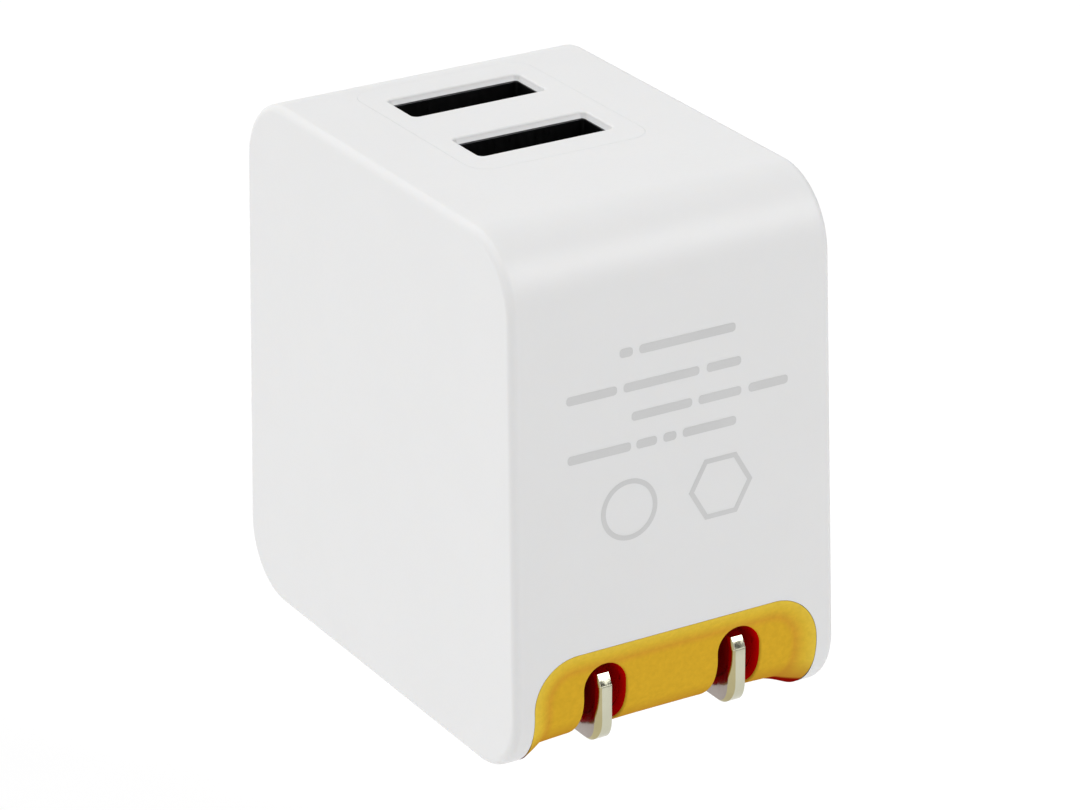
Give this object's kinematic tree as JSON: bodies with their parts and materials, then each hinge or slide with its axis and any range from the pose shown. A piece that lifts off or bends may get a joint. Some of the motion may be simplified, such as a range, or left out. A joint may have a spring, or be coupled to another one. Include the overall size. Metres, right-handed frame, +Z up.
{
  "type": "usb wall charger",
  "caption": "Compact cube-shaped USB mains charger with rounded white case, upright USB sockets in the top and blades that fold into an amber finger scoop.",
  "frame": {"origin": "centre of the bottom face, which meets the wall plate in use", "axes": "+Z up through the port face, -Y is the printed front that the folded blades point to, X across the width"},
  "size_m": [0.0304, 0.0456, 0.0456],
  "materials": {
    "shell_white": "satin moulded white plastic",
    "base_orange": "satin moulded amber plastic",
    "well_red": "deep red moulded plastic",
    "blade_nickel": "nickel-plated brass, lightly brushed",
    "carrier_grey": "grey glass-filled nylon",
    "steel": "ground steel",
    "bronze": "phosphor bronze strip",
    "wire_red": "red wire insulation",
    "board_green": "green solder mask over glass-epoxy laminate",
    "insulation_film": "amber polyester film",
    "ferrite": "dark ground ferrite",
    "bobbin_black": "black phenolic",
    "winding_yellow": "yellow polyester tape over copper wire",
    "capacitor_black": "aluminium can in a black sleeve",
    "capacitor_green": "aluminium can in a green sleeve",
    "disc_blue": "blue coated ceramic disc",
    "component_black": "black moulded epoxy",
    "resistor_beige": "beige lacquered ceramic",
    "header_black": "black nylon with tinned pins",
    "socket_steel": "dark nickel-plated steel sheet",
    "tongue_black": "black thermoplastic",
    "contact_gold": "gold-plated bronze"
  },
  "bodies": {
    "case": {"housing_shell": "shell_white", "port_panel": "shell_white", "base_cover": "base_orange", "prong_well_left": "well_red", "prong_well_right": "well_red", "bearing_block_left": "carrier_grey", "bearing_block_right": "carrier_grey", "detent_leaf": "steel", "contact_spring_left": "bronze", "contact_spring_right": "bronze", "input_lead_left": "wire_red", "input_lead_right": "wire_red", "insulation_sheet": "insulation_film", "main_board": "board_green", "transformer_core": "ferrite", "transformer_bobbin": "bobbin_black", "transformer_winding": "winding_yellow", "input_capacitor_left": "capacitor_black", "input_capacitor_right": "capacitor_black", "output_capacitor_left": "capacitor_green", "output_capacitor_right": "capacitor_green", "output_choke": "ferrite", "fuse_resistor": "resistor_beige", "safety_capacitor": "disc_blue", "bridge_rectifier": "component_black", "controller_chip": "component_black", "feedback_coupler": "component_black", "link_header": "header_black", "port_board": "board_green", "charge_chip": "component_black", "usb_shell_rear": "socket_steel", "usb_shell_front": "socket_steel", "usb_tongue_rear": "tongue_black", "usb_tongue_front": "tongue_black", "usb_contact_rear_1": "contact_gold", "usb_contact_rear_2": "contact_gold", "usb_contact_rear_3": "contact_gold", "usb_contact_rear_4": "contact_gold", "usb_contact_front_1": "contact_gold", "usb_contact_front_2": "contact_gold", "usb_contact_front_3": "contact_gold", "usb_contact_front_4": "contact_gold"},
    "prongs": {"prong_carrier": "carrier_grey", "blade_left": "blade_nickel", "blade_right": "blade_nickel", "spacer_left": "carrier_grey", "spacer_right": "carrier_grey", "pivot_pin": "steel"}
  },
  "joints": [
    {"name": "prong_fold", "type": "hinge", "parent": "case", "child": "prongs", "pos_m": [0, 0.0005, 0.0052], "axis": [1, 0, 0], "range_deg": [0, 90]}
  ]
}
